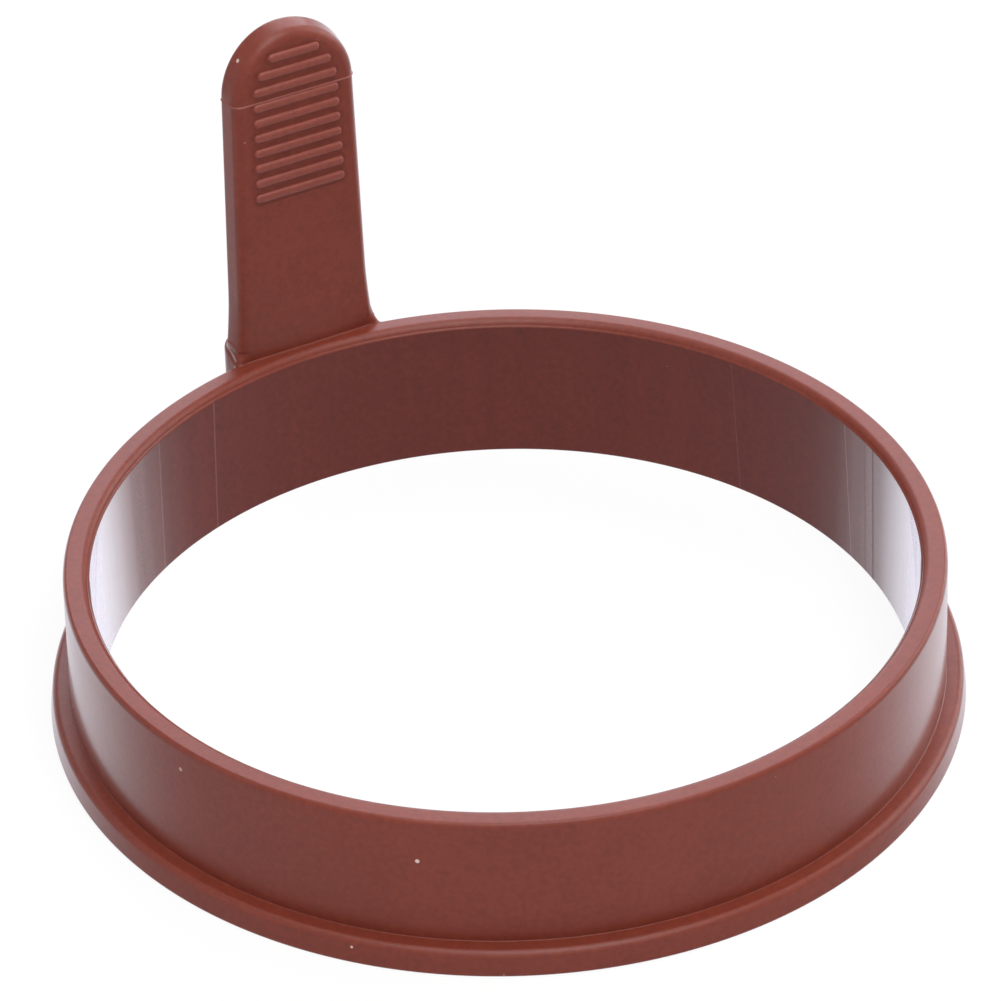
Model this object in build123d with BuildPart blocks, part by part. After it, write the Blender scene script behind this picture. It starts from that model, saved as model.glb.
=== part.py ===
from build123d import *
import math
import os

# Silicone egg ring: a drafted ring wall on a foot flange, with an upright tab handle
# standing on a lug at the back of the rim. Millimetres, +Z up. The origin is on the ring's
# axis at the face that lies on the pan, and the handle stands on the +Y side.

# Foot flange that lies on the pan, and the wall that leans in from it to the rim
base_radius = 50.0
flange_width = 2.25
flange_height = 2.95
flange_lean = 0.4
flange_bevel = 0.35
crease_bevel = 0.2
ring_height = 17.8
wall_lean = 0.45
bore_lean = 0.15

# Rim: rolled outside edge, and a bevelled inside edge that stops on a narrow ledge
rim_width = 2.65
rim_outer_rounding = 0.55
rim_inner_bevel = 0.6
rim_ledge_width = 0.6
rim_ledge_drop = 0.8

# Handle: a tab with drafted edges, a round end and rolled arrises
handle_set_back = 1.15
handle_thickness = 3.28
handle_end_radius = 7.22
handle_end_rise = 33.5
handle_edge_slope = 1.4
handle_flare_radius = 60.0
handle_flare_rise = 8.2
handle_side_draft = 7.5
front_arris_radius = 0.95
back_arris_radius = 0.6

# Lug that thickens the wall outwards to carry the handle
lug_side_margin = 0.55
lug_backing = 2.67
lug_corner_radius = 3.4
lug_root_radius = 0.8
lug_draft_angle = 0.4

# Foot of the handle, moulded with the ring, and the flexing stretch above it
foot_rise = 1.4
foot_fillet_radius = 0.35
root_length = 5.6

# Grip ribs across the front face of the handle
rib_count = 10
rib_pitch = 1.92
rib_width = 0.85
rib_height = 0.42
rib_end_bevel = 0.25
rib_crown_bevel = 0.18
rib_margin = 2.1
top_rib_share = 0.65

# Depth by which joining and cutting shapes pass the face that they meet
overrun = 1.0

os.makedirs("parts", exist_ok=True)

# Radii of the wall, the rim and its bore, stepping inwards from the foot flange
wall_foot_radius = base_radius - flange_width
rim_outer_radius = wall_foot_radius - wall_lean
rim_bore_radius = rim_outer_radius - rim_width
base_bore_radius = rim_bore_radius - bore_lean
handle_front = rim_outer_radius - handle_set_back

# Levels and half widths of the handle's front face, from the rim up to the round end
tab_bottom = ring_height - overrun
flare_top = ring_height + handle_flare_rise
end_level = ring_height + handle_end_rise
slope = math.radians(handle_edge_slope)
shoulder_half_width = handle_end_radius * math.cos(slope)
shoulder_level = end_level + handle_end_radius * math.sin(slope)
flare_top_half_width = shoulder_half_width + (shoulder_level - flare_top) * math.tan(slope)
flare_centre_level = flare_top + handle_flare_radius * math.sin(slope)
foot_slope = math.asin((flare_centre_level - tab_bottom) / handle_flare_radius)
flare_sweep = handle_flare_radius * (math.cos(slope) - math.cos(foot_slope))
bottom_half_width = flare_top_half_width + flare_sweep


def front_half_width(level):
    if level > shoulder_level:
        return math.sqrt(handle_end_radius**2 - (level - end_level) ** 2)
    return shoulder_half_width + (shoulder_level - level) * math.tan(slope)


# Tab: the whole handle as moulded, from just inside the rim to the round end
with BuildPart() as tab:
    with BuildSketch(Plane.back.offset(handle_front)):
        with BuildLine():
            turn = 90 - handle_edge_slope
            end = CenterArc((0, end_level), handle_end_radius, 90, -turn)
            edge = Line(end @ 1, (flare_top_half_width, flare_top))
            flare = TangentArc(edge @ 1, (bottom_half_width, tab_bottom), tangent=edge % 1)
            Line(flare @ 1, (0, tab_bottom))
            mirror(about=Plane.YZ)
        make_face()
    extrude(amount=handle_thickness)
    sides = tab.faces().filter_by(Axis.Y, reverse=True).sort_by(Axis.Z)[1:]
    draft(sides, Plane.back.offset(handle_front), -handle_side_draft)
    front_arrises = tab.faces().sort_by(Axis.Y)[0].edges().sort_by(Axis.Z)[1:]
    fillet(front_arrises, radius=front_arris_radius)
    back_arrises = tab.faces().sort_by(Axis.Y)[-1].edges().sort_by(Axis.Z)[1:]
    fillet(back_arrises, radius=back_arris_radius)

    # Grip ribs: bars with bevelled ends and crowns, their lengths following the tab's outline
    top_rib_level = end_level + top_rib_share * handle_end_radius
    with BuildSketch(Plane.XZ.offset(-handle_front)) as rib_plan:
        for rib in range(rib_count):
            rib_level = top_rib_level - rib * rib_pitch
            rib_half_length = front_half_width(rib_level + rib_width / 2) - rib_margin
            with Locations((0, rib_level)):
                Rectangle(2 * rib_half_length, rib_width)
        chamfer(rib_plan.vertices(), length=rib_end_bevel)
    extrude(amount=rib_height)
    rib_crowns = tab.faces().sort_by(Axis.Y)[0:rib_count]
    chamfer(rib_crowns.edges(), length=rib_crown_bevel)

# Ring: one turned section, from the foot flange up the drafted wall to the rim
foot_top = ring_height + foot_rise
ledge_radius = rim_bore_radius + rim_ledge_width
ledge_height = ring_height - rim_ledge_drop
with BuildPart() as ring:
    with BuildSketch(Plane.XZ) as ring_section:
        with BuildLine():
            Polyline(
                (base_bore_radius, 0),
                (base_radius, 0),
                (base_radius - flange_lean, flange_height),
                (wall_foot_radius, flange_height),
                (rim_outer_radius, ring_height),
                (ledge_radius, ring_height),
                (ledge_radius, ledge_height),
                (rim_bore_radius, ledge_height),
                close=True,
            )
        make_face()
        flange_corners = ring_section.vertices().group_by(Axis.Y)[1].sort_by(Axis.X)
        chamfer(flange_corners[-1], length=flange_bevel)
        crease = ring_section.vertices().sort_by_distance((wall_foot_radius, flange_height))[0]
        chamfer(crease, length=crease_bevel)
        rim_inside = ring_section.vertices().group_by(Axis.Y)[-1].sort_by(Axis.X)[0]
        chamfer(rim_inside, length=rim_inner_bevel)
    revolve(axis=Axis.Z)

    # Lug: its plan flows out of the rim's outer circle and tapers up from the base
    lug_width = 2 * (bottom_half_width + lug_side_margin)
    lug_reach = handle_front + handle_thickness + lug_backing
    wall_middle = (rim_outer_radius + ledge_radius) / 2
    with BuildSketch(Plane.XY.offset(ring_height)) as lug_plan:
        Circle(rim_outer_radius)
        with Locations((0, lug_reach / 2)):
            Rectangle(lug_width, lug_reach)
        lug_corners = lug_plan.vertices().group_by(Axis.Y)[-1]
        lug_roots = lug_plan.vertices().group_by(Axis.Y)[-2]
        fillet(lug_corners, radius=lug_corner_radius)
        fillet(lug_roots, radius=lug_root_radius)
        Circle(wall_middle, mode=Mode.SUBTRACT)
        keep_width = lug_width + 2 * (lug_root_radius + overrun)
        with Locations((0, lug_reach / 2)):
            Rectangle(keep_width, lug_reach, mode=Mode.INTERSECT)
    extrude(amount=ring_height, dir=(0, 0, -1), taper=-lug_draft_angle)
    rim_face = ring.faces().filter_by(Axis.Z).sort_by(Axis.Z)[-1]
    fillet(rim_face.outer_wire().edges(), radius=rim_outer_rounding)

    # Foot of the handle, blended into the rim and the lug by a small fillet
    add(tab.part)
    foot_joint = ring.edges(Select.LAST).filter_by_position(Axis.Z, ring_height, ring_height)
    fillet(foot_joint, radius=foot_fillet_radius)
    split(bisect_by=Plane.XY.offset(foot_top), keep=Keep.BOTTOM)
ring.part.label = "ring"
export_step(ring.part, "parts/ring.step")

# Handle root: the short stretch above the foot in which the handle bends
root_top = foot_top + root_length
with BuildPart() as handle_root:
    add(tab.part)
    split(bisect_by=Plane.XY.offset(foot_top), keep=Keep.TOP)
    split(bisect_by=Plane.XY.offset(root_top), keep=Keep.BOTTOM)
handle_root.part.label = "handle_root"
export_step(handle_root.part, "parts/handle_root.step")

# Handle: the rest of the tab, with its grip ribs
with BuildPart() as handle:
    add(tab.part)
    split(bisect_by=Plane.XY.offset(root_top), keep=Keep.TOP)
handle.part.label = "handle"
export_step(handle.part, "parts/handle.step")
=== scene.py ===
import math

import bmesh
import bpy
from mathutils import Matrix, Vector


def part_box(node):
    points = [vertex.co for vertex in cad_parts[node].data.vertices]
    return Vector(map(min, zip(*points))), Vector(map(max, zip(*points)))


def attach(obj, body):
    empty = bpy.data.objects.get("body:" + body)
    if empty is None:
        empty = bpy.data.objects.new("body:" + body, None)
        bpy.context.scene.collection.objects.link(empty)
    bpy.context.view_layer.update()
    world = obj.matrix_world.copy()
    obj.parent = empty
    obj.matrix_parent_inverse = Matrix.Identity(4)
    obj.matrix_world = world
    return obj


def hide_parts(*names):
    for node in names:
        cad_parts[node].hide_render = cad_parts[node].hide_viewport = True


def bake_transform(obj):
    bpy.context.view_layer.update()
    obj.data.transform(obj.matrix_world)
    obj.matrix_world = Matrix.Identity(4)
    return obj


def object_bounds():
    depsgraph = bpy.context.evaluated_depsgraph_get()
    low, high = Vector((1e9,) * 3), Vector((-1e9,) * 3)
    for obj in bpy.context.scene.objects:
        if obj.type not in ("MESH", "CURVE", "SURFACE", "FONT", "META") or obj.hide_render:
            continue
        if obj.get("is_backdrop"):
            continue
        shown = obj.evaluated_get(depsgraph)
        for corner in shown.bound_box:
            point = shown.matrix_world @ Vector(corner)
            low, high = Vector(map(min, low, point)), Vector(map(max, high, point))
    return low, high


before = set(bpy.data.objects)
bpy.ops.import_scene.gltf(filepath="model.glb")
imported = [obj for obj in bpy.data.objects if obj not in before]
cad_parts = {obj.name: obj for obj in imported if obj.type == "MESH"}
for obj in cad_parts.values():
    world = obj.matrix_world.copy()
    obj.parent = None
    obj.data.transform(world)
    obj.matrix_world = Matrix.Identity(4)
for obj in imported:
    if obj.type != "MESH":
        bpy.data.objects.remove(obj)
cad_low, cad_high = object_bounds()
bpy.context.scene.view_settings.view_transform = "Standard"

# The photograph's stand: a lens of long focus looks down on the ring from the front left,
# and the object fills the square frame almost to its edges.
frame_pixels = 1001
focal_pixels = 5000.0
sensor_width = 36.0
clip_near = 0.01
clip_far = 20.0
camera_place = (-0.205744, -0.385325, 0.330930)
camera_turn = (54.8977, 1.2307, -28.9223)

camera_data = bpy.data.cameras.new("photo_camera")
camera_data.sensor_width = sensor_width
camera_data.lens = sensor_width * focal_pixels / frame_pixels
camera_data.clip_start = clip_near
camera_data.clip_end = clip_far
camera = bpy.data.objects.new("photo_camera", camera_data)
camera.location = camera_place
camera.rotation_euler = [math.radians(angle) for angle in camera_turn]
bpy.context.scene.collection.objects.link(camera)
bpy.context.scene.camera = camera

# White surroundings: a plain pale world that the camera sees as white and the glossy silicone
# as a slightly cool white, and that lights the object more gently.
ambient_strength = 0.05
ambient_colour = (1.0, 1.0, 1.0, 1.0)
seen_strength = 1.0
mirrored_colour = (0.93, 0.92, 1.0, 1.0)


def math_node(tree, operation, first, second=None, third=None, clamp=False):
    node = tree.nodes.new("ShaderNodeMath")
    node.operation = operation
    node.use_clamp = clamp
    for index, value in enumerate((first, second, third)):
        if isinstance(value, (int, float)):
            node.inputs[index].default_value = value
        elif value is not None:
            tree.links.new(value, node.inputs[index])
    return node.outputs[0]


def mix_colour(tree, share, first, second, blend="MIX"):
    node = tree.nodes.new("ShaderNodeMix")
    node.data_type = "RGBA"
    node.blend_type = blend
    for socket, value in (("Factor", share), ("A", first), ("B", second)):
        if isinstance(value, (int, float, tuple)):
            node.inputs[socket].default_value = value
        else:
            tree.links.new(value, node.inputs[socket])
    return node.outputs["Result"]


world = bpy.data.worlds.new("studio_world")
world.use_nodes = True
bpy.context.scene.world = world
tree = world.node_tree
tree.nodes.clear()
output = tree.nodes.new("ShaderNodeOutputWorld")
ambient = tree.nodes.new("ShaderNodeBackground")
ambient.inputs["Color"].default_value = ambient_colour
ambient.inputs["Strength"].default_value = ambient_strength
seen = tree.nodes.new("ShaderNodeBackground")
seen.inputs["Strength"].default_value = seen_strength
rays = tree.nodes.new("ShaderNodeLightPath").outputs
seen_colour = mix_colour(tree, rays["Is Glossy Ray"], ambient_colour, mirrored_colour)
tree.links.new(seen_colour, seen.inputs["Color"])
camera_or_glossy = math_node(tree, "MAXIMUM", rays["Is Camera Ray"], rays["Is Glossy Ray"])
any_sight = math_node(tree, "MAXIMUM", camera_or_glossy, rays["Is Transmission Ray"])
world_mix = tree.nodes.new("ShaderNodeMixShader")
tree.links.new(any_sight, world_mix.inputs["Fac"])
tree.links.new(ambient.outputs[0], world_mix.inputs[1])
tree.links.new(seen.outputs[0], world_mix.inputs[2])
tree.links.new(world_mix.outputs[0], output.inputs["Surface"])

# Soft boxes: a cool one behind the table that the rim mirrors, one high over the front, one at
# the right, one overhead, and two weak ones, low at the front and at the left.
cool = (0.94, 0.91, 1.0)
white = (1.0, 1.0, 1.0)
for name, place, aim, size, power, colour in (
    ("back_box", (0.50, 0.95, 0.80), (0.0, 0.0, 0.0), 0.80, 8.4, cool),
    ("front_box", (-0.10, -0.42, 0.70), (0.0, 0.0, 0.0), 0.60, 5.4, white),
    ("right_box", (0.70, 0.00, 0.35), (0.0, 0.0, 0.01), 0.60, 4.0, white),
    ("top_box", (0.0, 0.0, 0.80), (0.0, 0.0, 0.0), 0.60, 2.9, white),
    ("low_box", (-0.35, -0.75, 0.20), (0.0, 0.0, 0.02), 0.60, 0.8, white),
    ("left_box", (-0.80, 0.10, 0.35), (0.0, 0.0, 0.01), 0.60, 0.8, white),
):
    lamp_data = bpy.data.lights.new(name, "AREA")
    lamp_data.shape = "SQUARE"
    lamp_data.size = size
    lamp_data.energy = power
    lamp_data.color = colour
    lamp = bpy.data.objects.new(name, lamp_data)
    lamp.location = place
    lamp.rotation_euler = (Vector(aim) - Vector(place)).to_track_quat("-Z", "Y").to_euler()
    bpy.context.scene.collection.objects.link(lamp)

# Pale table top: white card that runs far past the frame. It shows as white and still takes
# the soft shadow under the flange.
floor_half = 3.0
floor_colour = (0.88, 0.88, 0.88, 1.0)
floor_roughness = 0.9
floor_specular = 0.1
floor_sight_share = 0.85
floor_gloss_share = 0.85
fibre_scale = 40.0
fibre_darkest = 0.97


def map_range(tree, value, start, end, first, last, smooth=True):
    node = tree.nodes.new("ShaderNodeMapRange")
    node.interpolation_type = "SMOOTHSTEP" if smooth else "LINEAR"
    window = {"From Min": start, "From Max": end, "To Min": first, "To Max": last}
    for socket, number in window.items():
        node.inputs[socket].default_value = number
    tree.links.new(value, node.inputs["Value"])
    return node.outputs["Result"]


floor_mesh = bpy.data.meshes.new("table_top")
bm = bmesh.new()
bmesh.ops.create_grid(bm, x_segments=2, y_segments=2, size=floor_half)
bm.to_mesh(floor_mesh)
bm.free()
table_top = bpy.data.objects.new("table_top", floor_mesh)
bpy.context.scene.collection.objects.link(table_top)
floor_material = bpy.data.materials.new("white_card")
floor_material.use_nodes = True
tree = floor_material.node_tree
card = tree.nodes["Principled BSDF"]
card.inputs["Roughness"].default_value = floor_roughness
card.inputs["Specular IOR Level"].default_value = floor_specular
fibre = tree.nodes.new("ShaderNodeTexNoise")
fibre.inputs["Scale"].default_value = fibre_scale
fibre_tone = map_range(tree, fibre.outputs["Fac"], 0.0, 1.0, fibre_darkest, 1.0, smooth=False)
card_colour = mix_colour(tree, 1.0, floor_colour, fibre_tone, blend="MULTIPLY")
tree.links.new(card_colour, card.inputs["Base Color"])
rays = tree.nodes.new("ShaderNodeLightPath").outputs
glow = tree.nodes.new("ShaderNodeEmission")
glow_colour = mix_colour(tree, rays["Is Glossy Ray"], ambient_colour, mirrored_colour)
tree.links.new(glow_colour, glow.inputs["Color"])
sight = math_node(tree, "MAXIMUM", rays["Is Camera Ray"], rays["Is Transmission Ray"])
sight_share = math_node(tree, "MULTIPLY", sight, floor_sight_share)
glow_share = math_node(tree, "MULTIPLY_ADD", rays["Is Glossy Ray"], floor_gloss_share, sight_share)
card_mix = tree.nodes.new("ShaderNodeMixShader")
tree.links.new(glow_share, card_mix.inputs["Fac"])
tree.links.new(card.outputs[0], card_mix.inputs[1])
tree.links.new(glow.outputs[0], card_mix.inputs[2])
tree.links.new(card_mix.outputs[0], tree.nodes["Material Output"].inputs["Surface"])
floor_mesh.materials.append(floor_material)
table_top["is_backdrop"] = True

# Ring: the drafted wall on its foot flange, turned from one section. It is brown-red food
# silicone from a two-part mould, satin outside where the tool was blasted. The polished inside
# carries draw streaks, pale lines of painted highlight, a darker tone of painted shade and a
# painted pale sheen at a glance, where it also mirrors the white table.
base_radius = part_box("ring")[1].x
flange_width = 0.00225
flange_height = 0.00295
flange_lean = 0.0004
flange_rounding = 0.0007
crease_rounding = 0.0001
foot_rounding = 0.00015
heel_rounding = 0.00035
ring_height = 0.0178
wall_lean = 0.00025
bore_lean = 0.00015
bore_upright = 0.5
rim_width = 0.00285
rim_outer_rounding = 0.00045
rim_outer_drop = 0.0007
rim_crown_width = 0.00243
rim_crown_rounding = 0.00062
rim_ledge_width = 0.00018
rim_ledge_drop = 0.00066
rim_ledge_tilt = 0.00019
rim_ledge_fillet = 0.00006
ledge_rounding = 0.00009
turn_steps = 320
arc_steps = 6
same_point = 1e-7
on_plane = 1e-6
slack = 1.01
normal_weight = 60

wall_foot_radius = base_radius - flange_width
rim_outer_radius = wall_foot_radius - wall_lean
rim_bore_radius = rim_outer_radius - rim_width
base_bore_radius = rim_bore_radius - bore_lean
crown_radius = rim_outer_radius - rim_crown_width
ledge_radius = rim_bore_radius + rim_ledge_width
ledge_height = ring_height - rim_ledge_drop
rim_roll_start = rim_outer_radius - rim_outer_rounding * slack


def new_piece(name, bm):
    mesh = bpy.data.meshes.new(name)
    bmesh.ops.remove_doubles(bm, verts=bm.verts, dist=same_point)
    bmesh.ops.recalc_face_normals(bm, faces=bm.faces)
    for face in bm.faces:
        face.smooth = True
    bm.to_mesh(mesh)
    bm.free()
    piece = bpy.data.objects.new(name, mesh)
    bpy.context.scene.collection.objects.link(piece)
    return piece


def round_corner(bm, vert, offset, steps):
    bmesh.ops.bevel(
        bm, geom=[vert], offset=offset, offset_type="OFFSET", segments=steps,
        profile=0.5, affect="VERTICES", material=-1, clamp_overlap=False,
    )


def deepen_roll(verts, rounding, drop):
    for vert in verts:
        if vert.co.z > ring_height - rounding * slack:
            vert.co.z = ring_height - (ring_height - vert.co.z) * drop / rounding


def weigh_normals(piece, keep_sharp=False):
    normals = piece.modifiers.new("wall_normals", "WEIGHTED_NORMAL")
    normals.weight = normal_weight
    normals.keep_sharp = keep_sharp


bm = bmesh.new()
section = [
    (base_bore_radius, 0.0, foot_rounding),
    (base_radius, 0.0, heel_rounding),
    (base_radius - flange_lean, flange_height, flange_rounding),
    (wall_foot_radius, flange_height, crease_rounding),
    (rim_outer_radius, ring_height, rim_outer_rounding),
    (crown_radius, ring_height, rim_crown_rounding),
    (ledge_radius, ledge_height, rim_ledge_fillet),
    (rim_bore_radius, ledge_height - rim_ledge_tilt, ledge_rounding),
]
corners = [bm.verts.new((radius, 0.0, height)) for radius, height, rounding in section]
bm.faces.new(corners)
for vert, (radius, height, rounding) in zip(corners, section):
    round_corner(bm, vert, rounding, arc_steps)
rim_roll = [vert for vert in bm.verts if vert.co.x > rim_roll_start]
deepen_roll(rim_roll, rim_outer_rounding, rim_outer_drop)
bmesh.ops.delete(bm, geom=bm.faces[:], context="FACES_ONLY")
bmesh.ops.spin(
    bm, geom=bm.verts[:] + bm.edges[:], cent=(0.0, 0.0, 0.0), axis=(0.0, 0.0, 1.0),
    angle=math.tau, steps=turn_steps, use_merge=True,
)
ring_body = new_piece("ring_body", bm)

# The skin that every silicone finish shares: clouding, flecks, dust, smeary gloss and grain
cloud_scale, cloud_detail = 90.0, 5.0
fleck_scale, fleck_detail, fleck_share = 1500.0, 2.0, 2.0
mote_scale, mote_rarity, mote_reach = 330.0, 5.0, 0.10
mote_colour = (0.60, 0.46, 0.42, 1.0)
smear_scale, smear_detail = 160.0, 3.0
grain_scale, grain_detail = 2600.0, 3.0


def noise_field(tree, place, scale, detail):
    noise = tree.nodes.new("ShaderNodeTexNoise")
    noise.inputs["Scale"].default_value = scale
    noise.inputs["Detail"].default_value = detail
    tree.links.new(place, noise.inputs["Vector"])
    return noise.outputs["Fac"]


def shaded(tree, colour, factor):
    node = tree.nodes.new("ShaderNodeVectorMath")
    node.operation = "SCALE"
    tree.links.new(colour, node.inputs[0])
    tree.links.new(factor, node.inputs["Scale"])
    return node.outputs[0]


skin = bpy.data.node_groups.new("silicone_skin", "ShaderNodeTree")
for socket, kind, default in (
    ("Tone", "NodeSocketColor", (0.15, 0.03, 0.02, 1.0)),
    ("Mottle", "NodeSocketFloat", 0.24),
    ("Dust", "NodeSocketFloat", 0.9),
    ("Roughness", "NodeSocketFloat", 0.4),
    ("Roughness Spread", "NodeSocketFloat", 0.05),
):
    skin.interface.new_socket(socket, in_out="INPUT", socket_type=kind).default_value = default
for socket, kind in (
    ("Color", "NodeSocketColor"),
    ("Roughness", "NodeSocketFloat"),
    ("Height", "NodeSocketFloat"),
):
    skin.interface.new_socket(socket, in_out="OUTPUT", socket_type=kind)
given = skin.nodes.new("NodeGroupInput").outputs
result = skin.nodes.new("NodeGroupOutput").inputs
place = skin.nodes.new("ShaderNodeTexCoord").outputs["Object"]
clouds = math_node(skin, "SUBTRACT", noise_field(skin, place, cloud_scale, cloud_detail), 0.5)
flecks = math_node(skin, "SUBTRACT", noise_field(skin, place, fleck_scale, fleck_detail), 0.5)
mottle = math_node(skin, "MULTIPLY_ADD", flecks, fleck_share, clouds)
mottle_factor = math_node(skin, "MULTIPLY_ADD", mottle, given["Mottle"], 1.0)
toned = shaded(skin, given["Tone"], mottle_factor)
motes = skin.nodes.new("ShaderNodeTexVoronoi")
motes.inputs["Scale"].default_value = mote_scale
skin.links.new(place, motes.inputs["Vector"])
mote_draw = skin.nodes.new("ShaderNodeSeparateColor")
skin.links.new(motes.outputs["Color"], mote_draw.inputs["Color"])
mote_size = math_node(skin, "POWER", mote_draw.outputs["Red"], mote_rarity)
mote_dust = math_node(skin, "MULTIPLY", mote_size, given["Dust"])
mote_radius = math_node(skin, "MULTIPLY", mote_dust, mote_reach)
mote_mask = math_node(skin, "LESS_THAN", motes.outputs["Distance"], mote_radius)
mote_share = math_node(skin, "MULTIPLY", mote_mask, mote_draw.outputs["Green"])
skin.links.new(mix_colour(skin, mote_share, toned, mote_colour), result["Color"])
smears = math_node(skin, "SUBTRACT", noise_field(skin, place, smear_scale, smear_detail), 0.5)
smeared = math_node(skin, "MULTIPLY_ADD", smears, given["Roughness Spread"], given["Roughness"])
skin.links.new(smeared, result["Roughness"])
grain = noise_field(skin, place, grain_scale, grain_detail)
skin.links.new(math_node(skin, "ADD", grain, mote_mask), result["Height"])

# The satin finish outside and the polished one inside
silicone_ior = 1.41
scatter_weight = 0.25
scatter_reach = (1.0, 0.35, 0.25)
scatter_depth = 0.001
satin_tone = (0.155, 0.027, 0.0145, 1.0)
satin_roughness = 0.42
satin_grain = 0.000018
satin_coat_window = (0.42, 0.78)
satin_specular = 0.38
satin_coat_roughness = 0.18
# The inside's tone is darker than the outside's: painted shade inside the ring
shaded_polished_tone = (0.114, 0.0185, 0.0100, 1.0)
polished_roughness = 0.05
polished_grain = 0.0000001
polished_coat_window = (0.42, 0.76)
polished_dust = 0.4


def silicone_material(name, tone, roughness, bump_distance, coat_window, shader_settings):
    material = bpy.data.materials.new(name)
    material.use_nodes = True
    tree = material.node_tree
    shader = tree.nodes["Principled BSDF"]
    shader.inputs["IOR"].default_value = silicone_ior
    shader.inputs["Subsurface Weight"].default_value = scatter_weight
    shader.inputs["Subsurface Radius"].default_value = scatter_reach
    shader.inputs["Subsurface Scale"].default_value = scatter_depth
    for socket, value in shader_settings.items():
        shader.inputs[socket].default_value = value
    surface = tree.nodes.new("ShaderNodeGroup")
    surface.name = "surface"
    surface.node_tree = skin
    surface.inputs["Tone"].default_value = tone
    surface.inputs["Roughness"].default_value = roughness
    tree.links.new(surface.outputs["Color"], shader.inputs["Base Color"])
    tree.links.new(surface.outputs["Roughness"], shader.inputs["Roughness"])
    bump = tree.nodes.new("ShaderNodeBump")
    bump.inputs["Distance"].default_value = bump_distance
    tree.links.new(surface.outputs["Height"], bump.inputs["Height"])
    tree.links.new(bump.outputs["Normal"], shader.inputs["Normal"])
    facing = tree.nodes.new("ShaderNodeLayerWeight").outputs["Facing"]
    grazing = map_range(tree, facing, *coat_window, 0.0, 1.0)
    grazing.node.name = "grazing"
    tree.links.new(grazing, shader.inputs["Coat Weight"])
    return material


silicone = silicone_material(
    "silicone_satin", satin_tone, satin_roughness, satin_grain, satin_coat_window,
    {"Specular IOR Level": satin_specular, "Coat Roughness": satin_coat_roughness},
)
silicone_gloss = silicone_material(
    "silicone_gloss", shaded_polished_tone, polished_roughness, polished_grain, polished_coat_window,
    {
        "Specular IOR Level": 0.36,
        "Specular Tint": (0.95, 0.93, 1.0, 1.0),
        "Coat Roughness": 0.03,
        "Coat IOR": 2.2,
    },
)
tree = silicone_gloss.node_tree
polish = tree.nodes["Principled BSDF"].inputs
surface = tree.nodes["surface"]
surface.inputs["Dust"].default_value = polished_dust

# Draw streaks up the inside, in its tone and in its polish
streak_draw = (1.0, 1.0, 0.03)
streak_scale, streak_detail = 420.0, 5.0
streak_window = (0.3, 0.7)
bore_place = tree.nodes.new("ShaderNodeTexCoord").outputs["Object"]
drawn_out = tree.nodes.new("ShaderNodeVectorMath")
drawn_out.operation = "MULTIPLY"
drawn_out.inputs[1].default_value = streak_draw
tree.links.new(bore_place, drawn_out.inputs[0])
streaks = noise_field(tree, drawn_out.outputs[0], streak_scale, streak_detail)
tone_streaks = map_range(tree, streaks, *streak_window, 0.95, 1.05, smooth=False)
coat_streaks = map_range(tree, streaks, *streak_window, 0.75, 1.25, smooth=False)
streaked_tone = shaded(tree, surface.outputs["Color"], tone_streaks)
grazing = tree.nodes["grazing"].outputs["Result"]
streaked_coat = math_node(tree, "MULTIPLY", grazing, coat_streaks, clamp=True)

# Pale lines of painted highlight up the inside, and dark lines that take out the painted sheen
# and dull the gloss: the angle round the wall and the half width in degrees, the lean in radians
# for each metre of height, and the strength
highlight_line_colour = (0.62, 0.45, 0.45, 1.0)
bore_axes = tree.nodes.new("ShaderNodeSeparateXYZ")
tree.links.new(bore_place, bore_axes.inputs[0])
bore_angle = math_node(tree, "ARCTAN2", bore_axes.outputs["Y"], bore_axes.outputs["X"])
marks = {"pale": None, "dark": None}
for shade, azimuth, lean, half_width, strength in (
    ("pale", 0.4, 2.8, 0.15, 0.30),
    ("pale", 121.7, -1.0, 0.22, 0.12),
    ("pale", 109.3, -1.0, 0.22, 0.10),
    ("pale", 24.0, 2.0, 0.10, 0.08),
    ("dark", -6.0, 1.5, 0.42, 0.90),
    ("dark", -3.6, 1.5, 0.42, 0.40),
):
    leaned = math_node(tree, "MULTIPLY_ADD", bore_axes.outputs["Z"], lean, math.radians(azimuth))
    distance = math_node(tree, "ABSOLUTE", math_node(tree, "SUBTRACT", bore_angle, leaned))
    line = map_range(tree, distance, 0.0, math.radians(half_width), strength, 0.0)
    marks[shade] = line if marks[shade] is None else math_node(tree, "ADD", marks[shade], line)
clear = math_node(tree, "SUBTRACT", 1.0, marks["dark"], clamp=True)
# Painted highlight: the pale lines mix the base colour towards a pale pink
highlight_lined = mix_colour(tree, marks["pale"], streaked_tone, highlight_line_colour)

# The painted sheen, a base colour that turns pale at a glance, and the mirroring film at a
# glance, both broken by the dark lines
painted_sheen_colour = (0.82, 0.80, 0.87, 1.0)
painted_sheen_window, painted_sheen_most = (0.58, 0.84), 0.92
film_window, film_most = (0.66, 0.90), 0.75
bore_facing = tree.nodes.new("ShaderNodeLayerWeight").outputs["Facing"]
painted_sheen = map_range(tree, bore_facing, *painted_sheen_window, 0.0, painted_sheen_most)
film = map_range(tree, bore_facing, *film_window, 0.0, film_most)
# Painted sheen: the base colour turns pale where the wall is seen at a glance
painted_sheened = mix_colour(tree, math_node(tree, "MULTIPLY", painted_sheen, clear), highlight_lined, painted_sheen_colour)
tree.links.new(painted_sheened, polish["Base Color"])
tree.links.new(math_node(tree, "MULTIPLY", film, clear), polish["Metallic"])
tree.links.new(math_node(tree, "MULTIPLY", streaked_coat, clear), polish["Coat Weight"])

ring_body.data.materials.append(silicone)
ring_body.data.materials.append(silicone_gloss)
for face in ring_body.data.polygons:
    radius = math.hypot(face.center.x, face.center.y)
    if radius < rim_bore_radius and abs(face.normal.z) < bore_upright:
        face.material_index = 1
weigh_normals(ring_body)
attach(ring_body, "ring")
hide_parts("ring")

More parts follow.
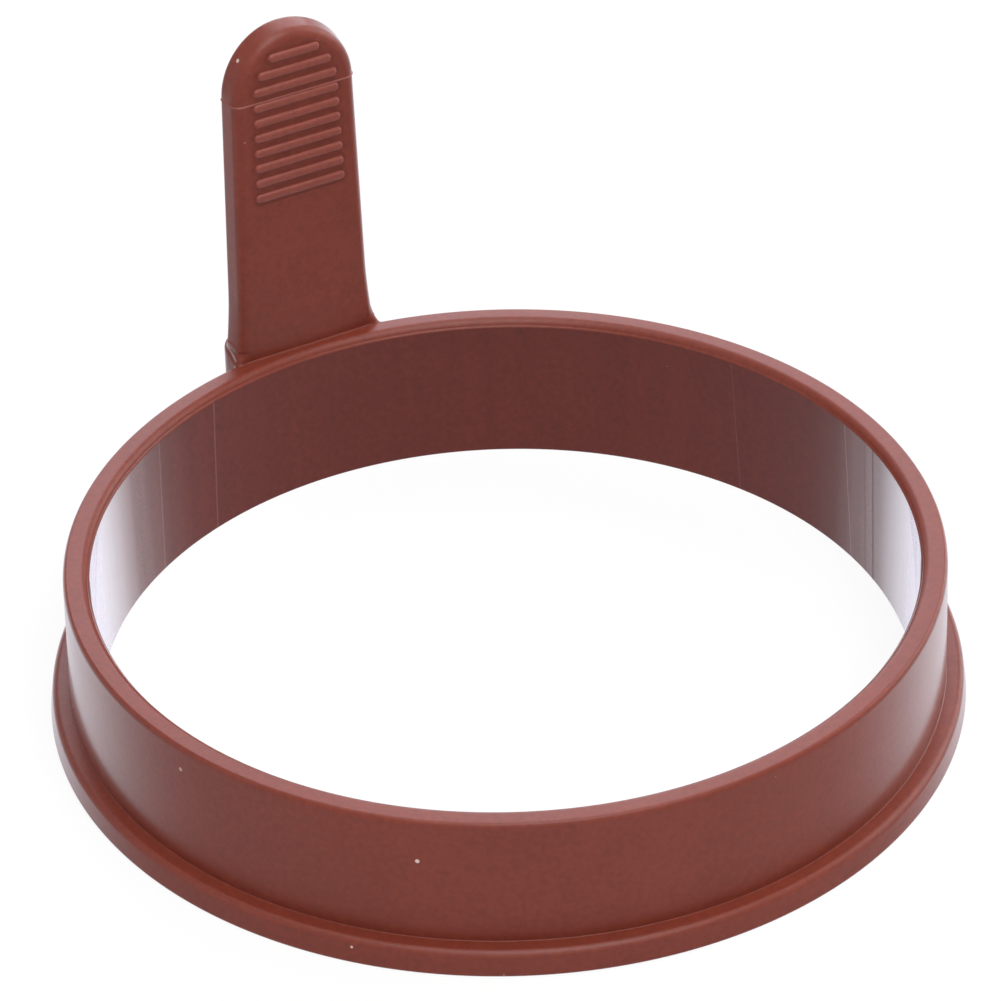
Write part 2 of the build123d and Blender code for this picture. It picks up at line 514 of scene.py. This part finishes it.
# Lug: the wall swells outwards here to carry the handle. It is the same moulding as the ring,
# a little duller, with its corners rounded in plan. Its top rises slightly behind the handle.
lug_draft_angle = math.radians(0.4)
lug_draft = math.tan(lug_draft_angle) * ring_height
lug_half_width = 0.0091
lug_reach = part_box("ring")[1].y - lug_draft
lug_corner_rounding = 0.0034
lug_corner_steps = 16
lug_root_rounding = 0.0008
lug_root_steps = 8
lug_top_rounding = rim_outer_rounding
lug_top_drop = rim_outer_drop
lug_inner_radius = rim_outer_radius - rim_outer_rounding
lug_inner_steps = 24
lug_inner_slack = 1.001
lug_rise = 0.0010
lug_rise_start = 0.0464
lug_rise_run = 0.0030
lug_rise_cuts = 8
lug_roughness = 0.45
lug_coat_window = (0.62, 0.95)
lug_coat_roughness = 0.30

root_centre_x = lug_half_width + lug_root_rounding
root_centre_y = math.sqrt((rim_outer_radius + lug_root_rounding) ** 2 - root_centre_x**2)
root_angle = math.atan2(root_centre_y, root_centre_x)
root_touch = Vector((math.cos(root_angle), math.sin(root_angle), 0.0)) * rim_outer_radius
root_offset = (root_touch.x - lug_half_width) / math.sin(root_angle)
root_corner_y = root_touch.y + root_offset * math.cos(root_angle)
inner_touch = root_touch * (lug_inner_radius / rim_outer_radius)


def roll_edges(bm, edges, offset):
    bmesh.ops.bevel(
        bm, geom=edges, offset=offset, offset_type="OFFSET", segments=arc_steps,
        profile=0.5, affect="EDGES", material=-1, clamp_overlap=False,
    )


def cut_across(bm, place, normal):
    everything = bm.verts[:] + bm.edges[:] + bm.faces[:]
    bmesh.ops.bisect_plane(bm, geom=everything, plane_co=place, plane_no=normal)


def share_of(value):
    return min(max(value, 0.0), 1.0)


bm = bmesh.new()
start = bm.verts.new((root_touch.x, root_touch.y, ring_height))
root = bm.verts.new((lug_half_width, root_corner_y, ring_height))
corner = bm.verts.new((lug_half_width, lug_reach, ring_height))
far_corner = bm.verts.new((-lug_half_width, lug_reach, ring_height))
far_root = bm.verts.new((-lug_half_width, root_corner_y, ring_height))
finish = bm.verts.new((-root_touch.x, root_touch.y, ring_height))
inner_start = bm.verts.new((inner_touch.x, inner_touch.y, ring_height))
outline = [start, root, corner, far_corner, far_root, finish]
for one, two in zip(outline, outline[1:]):
    bm.edges.new((one, two))
bm.edges.new((start, inner_start))
inner = bmesh.ops.spin(
    bm, geom=[inner_start], cent=(0.0, 0.0, 0.0), axis=(0.0, 0.0, 1.0),
    angle=math.pi - 2 * root_angle, steps=lug_inner_steps,
)
inner_finish = next(item for item in inner["geom_last"] if isinstance(item, bmesh.types.BMVert))
bm.edges.new((finish, inner_finish))
bmesh.ops.contextual_create(bm, geom=bm.edges[:])
for vert, offset, steps in (
    (root, root_offset, lug_root_steps),
    (far_root, root_offset, lug_root_steps),
    (corner, lug_corner_rounding, lug_corner_steps),
    (far_corner, lug_corner_rounding, lug_corner_steps),
):
    round_corner(bm, vert, offset, steps)
bm.faces.ensure_lookup_table()
foot = bmesh.ops.extrude_face_region(bm, geom=[bm.faces[0]])
foot_verts = [item for item in foot["geom"] if isinstance(item, bmesh.types.BMVert)]
bmesh.ops.translate(bm, verts=foot_verts, vec=(0.0, 0.0, -ring_height))
for vert in foot_verts:
    if math.hypot(vert.co.x, vert.co.y) > lug_inner_radius * lug_inner_slack:
        vert.co.x *= 1.0 + lug_draft / lug_half_width
        vert.co.y += lug_draft * (vert.co.y - root_touch.y) / (lug_reach - root_touch.y)
bmesh.ops.recalc_face_normals(bm, faces=bm.faces)
rolled = [
    edge
    for edge in bm.edges
    if all(abs(vert.co.z - ring_height) < on_plane for vert in edge.verts)
    and all(math.hypot(vert.co.x, vert.co.y) > rim_outer_radius - on_plane for vert in edge.verts)
]
roll_edges(bm, rolled, lug_top_rounding)
deepen_roll(bm.verts, lug_top_rounding, lug_top_drop)
for cut in range(lug_rise_cuts + 1):
    cut_y = lug_rise_start + lug_rise_run * cut / lug_rise_cuts
    cut_across(bm, (0.0, cut_y, 0.0), (0.0, 1.0, 0.0))
for vert in bm.verts:
    share = share_of((vert.co.y - lug_rise_start) / lug_rise_run)
    if vert.co.z > ring_height / 2:
        vert.co.z += lug_rise * share * share * (3 - 2 * share)
lug = new_piece("handle_lug", bm)
silicone_dull = silicone_material(
    "silicone_dull", satin_tone, lug_roughness, satin_grain, lug_coat_window,
    {"Specular IOR Level": satin_specular, "Coat Roughness": lug_coat_roughness},
)
lug.data.materials.append(silicone_dull)
weigh_normals(lug)
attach(lug, "ring")
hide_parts("ring")

# Handle: an upright tab of the same silicone, moulded on the rim and the lug. Its edges are
# drafted so that it leaves the mould, its arrises are rolled and its end is round. The mould's
# parting line runs round it as a fine ridge, painted paler as a highlight.
handle_set_back = 0.0012
handle_thickness = 0.00328
handle_front = rim_outer_radius - handle_set_back
handle_back = handle_front + handle_thickness
end_radius = 0.00736
end_level = ring_height + 0.03358
end_steps = 28
edge_slope = math.radians(1.4)
flare_radius = 0.060
flare_top = ring_height + 0.0082
flare_steps = 10
tab_bottom = ring_height - 0.001
bottom_margin = 1e-4
side_draft = math.radians(7.5)
front_arris = 0.0012
back_arris = 0.0006
bend_cuts = 24
# A paler tone for the parting ridge and the grip ribs: painted highlight
raised_highlight_tone = (0.188, 0.039, 0.0245, 1.0)
raised_part_roughness = 0.46

side_spread = handle_thickness * math.tan(side_draft)
back_radius = end_radius + side_spread
back_top = end_level + back_radius


def edge_half_width(level):
    shoulder_level = end_level + end_radius * math.sin(edge_slope)
    return end_radius * math.cos(edge_slope) + (shoulder_level - level) * math.tan(edge_slope)


flare_centre_level = flare_top + flare_radius * math.sin(edge_slope)
foot_slope = math.asin((flare_centre_level - tab_bottom) / flare_radius)
flare_offset = flare_radius * math.tan((foot_slope - edge_slope) / 2)
flare_corner = flare_top - flare_offset * math.cos(edge_slope)
flare_sweep = flare_radius * (math.cos(edge_slope) - math.cos(foot_slope))
bottom_half_width = edge_half_width(flare_top) + flare_sweep
spread = side_spread / math.cos(edge_slope)
end_offset = back_radius * math.tan((math.pi / 2 + edge_slope) / 2)
root_start, root_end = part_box("handle_root")[0].z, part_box("handle_root")[1].z

bm = bmesh.new()
right = [
    (bottom_half_width + spread, tab_bottom - side_spread),
    (edge_half_width(flare_corner) + spread, flare_corner),
    (edge_half_width(back_top) + spread, back_top),
]
left = [(-x, z) for x, z in reversed(right)]
outline = [bm.verts.new((x, handle_back, z)) for x, z in right + left]
bm.faces.new(outline)
for index, offset, steps in (
    (1, flare_offset, flare_steps),
    (4, flare_offset, flare_steps),
    (2, end_offset, end_steps),
    (3, end_offset, end_steps),
):
    round_corner(bm, outline[index], offset, steps)
bmesh.ops.remove_doubles(bm, verts=bm.verts, dist=on_plane)
bm.faces.ensure_lookup_table()
front_face = bmesh.ops.extrude_face_region(bm, geom=[bm.faces[0]])
front_verts = [item for item in front_face["geom"] if isinstance(item, bmesh.types.BMVert)]
bmesh.ops.translate(bm, verts=front_verts, vec=(0.0, -handle_thickness, 0.0))
for vert in front_verts:
    if vert.co.z > end_level:
        reach = math.hypot(vert.co.x, vert.co.z - end_level)
        vert.co.x *= 1 - side_spread / reach
        vert.co.z -= (vert.co.z - end_level) * side_spread / reach
    else:
        vert.co.x -= math.copysign(spread, vert.co.x)
bmesh.ops.recalc_face_normals(bm, faces=bm.faces)
for plane, radius, turn in (
    (handle_front, front_arris, math.pi / 2 - side_draft),
    (handle_back, back_arris, math.pi / 2 + side_draft),
):
    arrises = [
        edge
        for edge in bm.edges
        if all(abs(vert.co.y - plane) < on_plane for vert in edge.verts)
        and max(vert.co.z for vert in edge.verts) > tab_bottom + bottom_margin
    ]
    roll_edges(bm, arrises, radius * math.tan(turn / 2))
for cut in range(bend_cuts + 1):
    level = root_start + (root_end - root_start) * cut / bend_cuts
    cut_across(bm, (0.0, 0.0, level), (0.0, 0.0, 1.0))

# Small fillets at the foot. The skirt stays inside the lug's plan, so that no edge of it shows.
foot_fillet_front = 0.00015
foot_fillet_back = 0.0008
foot_fillet_side = 0.0016
foot_fillet_corner = 0.00012
foot_side_turn = math.radians(60)
foot_side_share = 0.6
foot_fillet_top = ring_height + 0.0020
foot_cuts = 30
foot_fade = 0.0016
foot_margin = 0.0002
foot_skirt_limit = lug_half_width - foot_margin
foot_skirt_spare = 0.0005
foot_corner_limit = lug_corner_rounding - foot_margin
lug_corner_x = lug_half_width - lug_corner_rounding
lug_corner_y = lug_reach - lug_corner_rounding
foot_rim_end = 0.0466
foot_rim_run = 0.0003
least_outward = 0.1
for cut in range(foot_cuts + 1):
    level = tab_bottom + (foot_fillet_top - tab_bottom) * cut / foot_cuts
    cut_across(bm, (0.0, 0.0, level), (0.0, 0.0, 1.0))
bm.normal_update()
for vert in bm.verts:
    outward = Vector((vert.normal.x, vert.normal.y, 0.0))
    if vert.co.z > foot_fillet_top or outward.length < least_outward:
        continue
    outward.normalize()
    end_fillet = foot_fillet_front if outward.y < 0 else foot_fillet_back
    height = share_of((vert.co.z - ring_height) / end_fillet)
    end_reach = end_fillet * (1 - math.sqrt(1 - (1 - height) ** 2))
    fade = share_of(1 - (vert.co.y - handle_front) / foot_fade)
    drop = foot_fillet_top - vert.co.z
    arc = min(drop, foot_fillet_side * math.sin(foot_side_turn))
    side_reach = foot_fillet_side - math.sqrt(foot_fillet_side**2 - arc**2)
    side_reach += (drop - arc) * math.tan(foot_side_turn) * foot_side_share
    corner_share = min(drop / foot_fillet_corner, 1.0)
    side_reach = fade * side_reach + (1 - fade) * foot_fillet_corner * corner_share
    vert.co += outward * (side_reach * outward.x**2 + end_reach * outward.y**2)
    over_rim = share_of((foot_rim_end - vert.co.y) / foot_rim_run)
    widest = foot_skirt_limit + foot_skirt_spare * over_rim
    past_corner = min(vert.co.y - lug_corner_y, foot_corner_limit)
    if past_corner > 0:
        widest = lug_corner_x + math.sqrt(foot_corner_limit**2 - past_corner**2)
    if abs(vert.co.x) > widest:
        vert.co.x = math.copysign(widest, vert.co.x)

# The parting line's ridge, with sharp edges
parting_level = 0.0510
parting_half_width = 0.00013
parting_proud = 0.00011
for cut in (-1, 0, 1):
    level = parting_level + cut * parting_half_width
    cut_across(bm, (0.0, 0.0, level), (0.0, 0.0, 1.0))
bm.normal_update()
for vert in bm.verts:
    if abs(vert.co.z - parting_level) < same_point:
        vert.co += Vector((vert.normal.x, vert.normal.y, 0.0)).normalized() * parting_proud
for edge in bm.edges:
    if all(abs(vert.co.z - parting_level) < parting_half_width * slack for vert in edge.verts):
        edge.smooth = False
tab = new_piece("handle_tab", bm)
silicone_painted_highlight = silicone_material(
    "silicone_painted_highlight", raised_highlight_tone, raised_part_roughness, satin_grain, satin_coat_window, {},
)
tab.data.materials.append(silicone)
tab.data.materials.append(silicone_painted_highlight)
# Painted highlight: the ridge's faces take the paler tone
for face in tab.data.polygons:
    if abs(face.center.z - parting_level) < parting_half_width:
        face.material_index = 1
weigh_normals(tab, keep_sharp=True)
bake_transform(tab)
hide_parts("handle_root", "handle")

# Grip ribs: ten low bars moulded across the front of the handle for the thumb. Each has round
# ends, a rolled crown and a small fillet where it leaves the face.
rib_count = 10
rib_pitch = 0.00192
rib_half_width = 0.00054
rib_height = 0.00032
rib_side_lean = 0.00004
rib_crown = 0.00032
rib_crown_steps = 5
rib_fillet = 0.00032
rib_fillet_share = 0.9
rib_fillet_steps = 4
rib_depth = 0.0002
rib_margin = 0.0021
rib_length_share = 0.65
rib_steps = 32
top_rib_share = 0.65
top_rib_level = end_level + top_rib_share * end_radius


def rib_half_length(level):
    if level > end_level + end_radius * math.sin(edge_slope):
        return math.sqrt(end_radius**2 - (level - end_level) ** 2) - rib_margin
    return edge_half_width(level) - rib_margin


for rib in range(rib_count):
    level = top_rib_level - rib * rib_pitch
    stretch = rib_half_length(level + rib_length_share * rib_half_width) - rib_half_width
    bm = bmesh.new()
    profile = [
        bm.verts.new((x, -height, 0.0))
        for x, height in (
            (0.0, rib_height),
            (rib_half_width - rib_side_lean, rib_height),
            (rib_half_width, 0.0),
            (rib_half_width + rib_fillet, 0.0),
            (rib_half_width + rib_fillet, -rib_depth),
        )
    ]
    for one, two in zip(profile, profile[1:]):
        bm.edges.new((one, two))
    round_corner(bm, profile[1], rib_crown, rib_crown_steps)
    round_corner(bm, profile[2], rib_fillet * rib_fillet_share, rib_fillet_steps)
    bmesh.ops.spin(
        bm, geom=bm.verts[:] + bm.edges[:], cent=(0.0, 0.0, 0.0), axis=(0.0, 1.0, 0.0),
        angle=math.tau, steps=rib_steps, use_merge=True,
    )
    bmesh.ops.remove_doubles(bm, verts=bm.verts, dist=same_point)
    bmesh.ops.rotate(
        bm, verts=bm.verts, cent=(0.0, 0.0, 0.0),
        matrix=Matrix.Rotation(math.pi / rib_steps, 3, "Y"),
    )
    for vert in bm.verts:
        if abs(vert.co.x) > same_point:
            vert.co.x += math.copysign(stretch, vert.co.x)
    bmesh.ops.translate(bm, verts=bm.verts, vec=(0.0, handle_front, level))
    bar = new_piece(f"grip_rib_{rib + 1}", bm)
    # Painted highlight: the ribs take the paler tone
    bar.data.materials.append(silicone_painted_highlight)
    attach(bar, "handle")
    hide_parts("handle")

size = {"cad": [list(cad_low), list(cad_high)], "visual": [list(corner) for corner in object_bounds()]}
